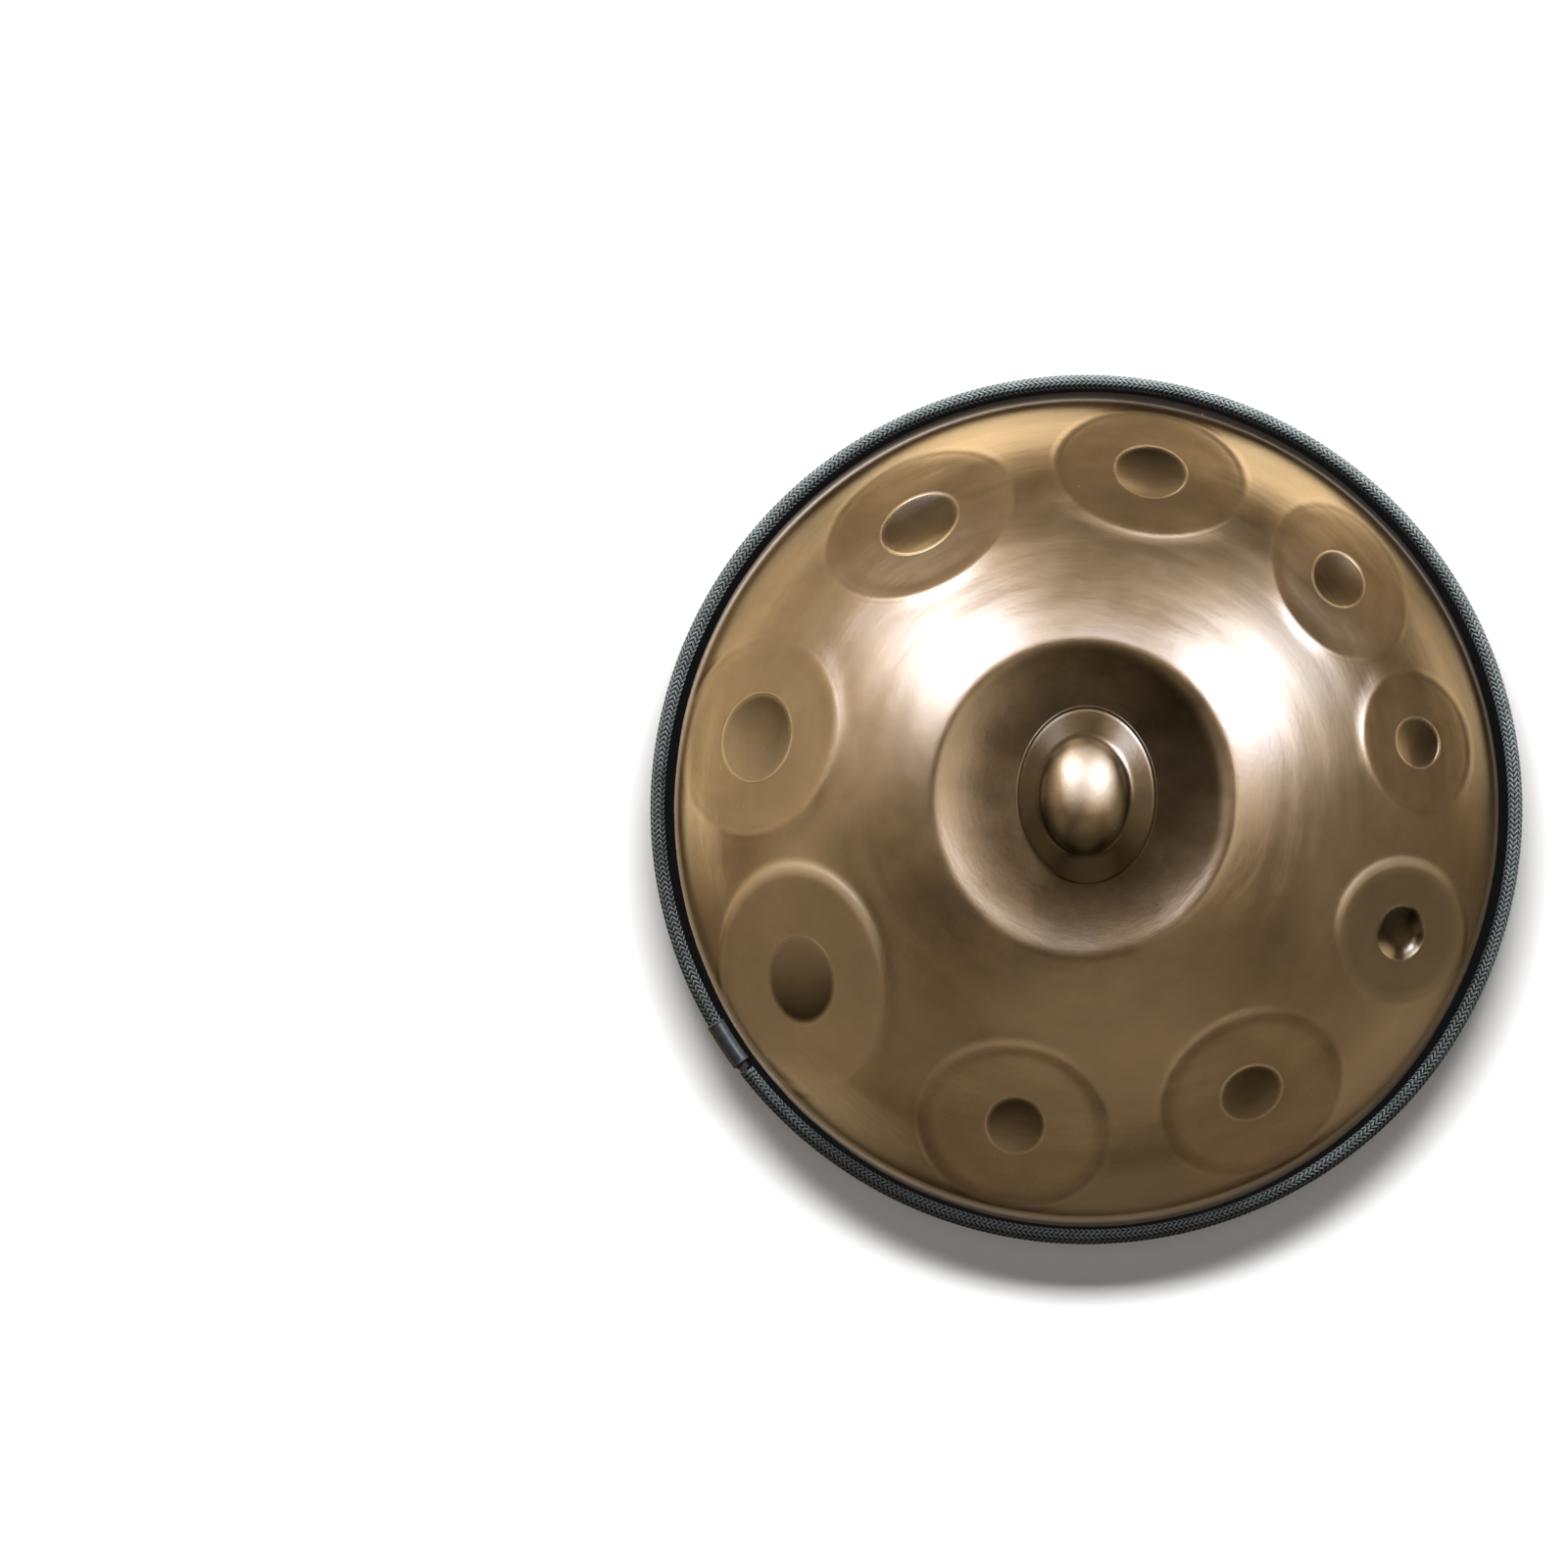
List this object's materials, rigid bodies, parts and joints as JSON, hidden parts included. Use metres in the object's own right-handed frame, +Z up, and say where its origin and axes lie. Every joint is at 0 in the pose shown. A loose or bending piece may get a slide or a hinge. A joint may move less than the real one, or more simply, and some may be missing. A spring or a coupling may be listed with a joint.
{
  "type": "handpan",
  "caption": "Steel handpan: domed upper shell with a raised centre note and dimpled tone fields, bonded to a ported lower shell, with a braided cord round the rim.",
  "frame": {"origin": "centre of the flat ring round the port of the lower shell, on the plane that the instrument rests on", "axes": "+Z up through the centre note, +Y away from the player, +X to the player's right"},
  "size_m": [0.56, 0.56, 0.2392],
  "materials": {
    "bronzed_steel": "nitrided and heat-tinted, satin with soft swirls",
    "cured_glue": "cured adhesive, semi-matte",
    "edging_rubber": "smooth extruded rubber, semi-matte",
    "core_rubber": "foam rubber, matte",
    "charcoal_braid": "herringbone braid of synthetic yarn, slight sheen",
    "shrink_tube": "shrunk polyolefin, satin"
  },
  "bodies": {
    "root": {"ding_shell": "bronzed_steel", "gu_shell": "bronzed_steel", "flange_adhesive": "cured_glue", "edge_channel": "edging_rubber", "cord_adhesive": "cured_glue", "cord_core": "core_rubber", "cord_braid": "charcoal_braid", "end_sleeve": "shrink_tube"}
  },
  "joints": []
}
